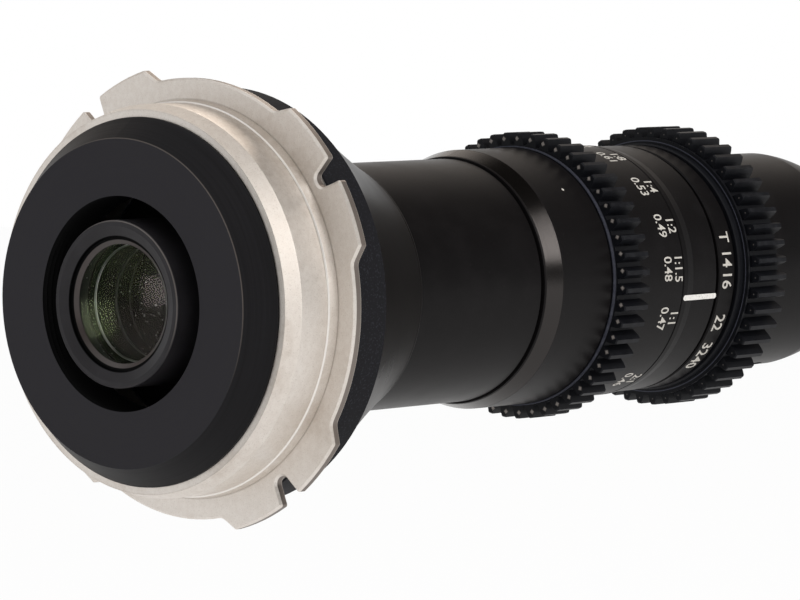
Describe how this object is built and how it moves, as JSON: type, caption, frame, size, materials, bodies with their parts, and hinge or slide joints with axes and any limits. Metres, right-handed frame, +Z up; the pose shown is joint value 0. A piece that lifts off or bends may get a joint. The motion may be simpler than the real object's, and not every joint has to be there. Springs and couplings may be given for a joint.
{
  "type": "macro probe cinema lens",
  "caption": "Macro probe cinema lens with geared focus and aperture rings, a flared four-lug camera mount, a seven-blade iris and a long slim lit probe.",
  "frame": {"origin": "centre of the camera mount's flange seat, on the optical axis", "axes": "+X along the optical axis towards the front glass, +Z up as pictured, -Y the side that carries the scales"},
  "size_m": [0.4145, 0.0632, 0.0632],
  "materials": {
    "nickel": "satin nickel on brass",
    "steel": "plain steel",
    "black_body": "semi-gloss black anodised",
    "black_baffle": "satin blue-black anodised",
    "black_anodised": "satin black anodised",
    "gear_black": "matt black anodised teeth",
    "lens_glass": "coated optical glass",
    "brass_pin": "turned brass",
    "blade_steel": "dry-lubricated black steel",
    "seal_rubber": "black seal rubber",
    "board": "white solder mask",
    "light_chip": "light-emitting diode",
    "diffuser": "frosted white",
    "flex": "amber polyimide"
  },
  "bodies": {
    "lens_body": {"mount_flange": "nickel", "mount_shim": "steel", "mount_screws": "steel", "mount_adapter": "black_body", "rear_baffle": "black_baffle", "rear_cell": "black_anodised", "rear_lock_ring": "black_anodised", "rear_retainer": "black_anodised", "rear_element": "lens_glass", "rear_spacer": "black_anodised", "rear_inner_element": "lens_glass", "main_sleeve": "black_anodised", "rear_barrel": "black_anodised", "stop_screw": "steel", "index_ring": "black_anodised", "front_housing": "black_anodised", "power_socket": "steel", "relay_tube": "black_anodised", "relay_spacers": "black_anodised", "relay_retainers": "black_anodised", "probe_tube": "black_anodised", "tip_housing": "black_anodised", "tip_seal": "seal_rubber", "objective_cell": "black_anodised", "objective_lens_1": "lens_glass", "objective_lens_2": "lens_glass", "objective_spacer": "black_anodised", "objective_retainer": "black_anodised", "front_window": "lens_glass", "window_retainer": "black_anodised", "led_board": "board", "leds": "light_chip", "diffuser_ring": "diffuser", "led_flex": "flex", "iris_base": "black_anodised", "iris_cover": "black_anodised", "relay_lens_1": "lens_glass", "relay_lens_2": "lens_glass", "relay_lens_3": "lens_glass", "relay_lens_4": "lens_glass"},
    "focus_body": {"focus_ring": "black_anodised", "focus_gear": "gear_black", "focus_scale_ring": "black_anodised", "focus_cam_sleeve": "black_anodised", "focus_drive_screws": "steel"},
    "focus_group": {"focus_carrier": "black_anodised", "cam_pins": "brass_pin", "focus_rear_element": "lens_glass", "focus_front_element": "lens_glass"},
    "aperture_body": {"aperture_ring": "black_anodised", "aperture_gear": "gear_black", "iris_rotor": "brass_pin", "aperture_pin": "steel"},
    "iris_blade_1": {"iris_blade_1": "blade_steel"},
    "iris_blade_2": {"iris_blade_2": "blade_steel"},
    "iris_blade_3": {"iris_blade_3": "blade_steel"},
    "iris_blade_4": {"iris_blade_4": "blade_steel"},
    "iris_blade_5": {"iris_blade_5": "blade_steel"},
    "iris_blade_6": {"iris_blade_6": "blade_steel"},
    "iris_blade_7": {"iris_blade_7": "blade_steel"}
  },
  "joints": [
    {"name": "focus_turn", "type": "hinge", "parent": "lens_body", "child": "focus_body", "pos_m": [0.072, 0, 0], "axis": [1, 0, 0], "range_deg": [-55, 118]},
    {"name": "focus_slide", "type": "slide", "parent": "lens_body", "child": "focus_group", "axis": [1, 0, 0], "range_m": [-0.0034, 0.0072]},
    {"name": "aperture_turn", "type": "hinge", "parent": "lens_body", "child": "aperture_body", "pos_m": [0.103, 0, 0], "axis": [1, 0, 0], "range_deg": [-38, 17]},
    {"name": "blade_1_swing", "type": "hinge", "parent": "lens_body", "child": "iris_blade_1", "pos_m": [0.101, -0.00152, 0.01079], "axis": [1, 0, 0], "range_deg": [-13, 5.8]},
    {"name": "blade_2_swing", "type": "hinge", "parent": "lens_body", "child": "iris_blade_2", "pos_m": [0.101, -0.00938, 0.00554], "axis": [1, 0, 0], "range_deg": [-13, 5.8]},
    {"name": "blade_3_swing", "type": "hinge", "parent": "lens_body", "child": "iris_blade_3", "pos_m": [0.101, -0.01019, -0.00388], "axis": [1, 0, 0], "range_deg": [-13, 5.8]},
    {"name": "blade_4_swing", "type": "hinge", "parent": "lens_body", "child": "iris_blade_4", "pos_m": [0.101, -0.00332, -0.01038], "axis": [1, 0, 0], "range_deg": [-13, 5.8]},
    {"name": "blade_5_swing", "type": "hinge", "parent": "lens_body", "child": "iris_blade_5", "pos_m": [0.101, 0.00605, -0.00907], "axis": [1, 0, 0], "range_deg": [-13, 5.8]},
    {"name": "blade_6_swing", "type": "hinge", "parent": "lens_body", "child": "iris_blade_6", "pos_m": [0.101, 0.01086, -0.00092], "axis": [1, 0, 0], "range_deg": [-13, 5.8]},
    {"name": "blade_7_swing", "type": "hinge", "parent": "lens_body", "child": "iris_blade_7", "pos_m": [0.101, 0.00749, 0.00792], "axis": [1, 0, 0], "range_deg": [-13, 5.8]}
  ],
  "couplings": [
    {"joint": "focus_slide", "follows": "focus_turn", "m_per_rad": 0.0034377},
    {"joint": "blade_1_swing", "follows": "aperture_turn", "ratio": 0.34},
    {"joint": "blade_2_swing", "follows": "aperture_turn", "ratio": 0.34},
    {"joint": "blade_3_swing", "follows": "aperture_turn", "ratio": 0.34},
    {"joint": "blade_4_swing", "follows": "aperture_turn", "ratio": 0.34},
    {"joint": "blade_5_swing", "follows": "aperture_turn", "ratio": 0.34},
    {"joint": "blade_6_swing", "follows": "aperture_turn", "ratio": 0.34},
    {"joint": "blade_7_swing", "follows": "aperture_turn", "ratio": 0.34}
  ]
}
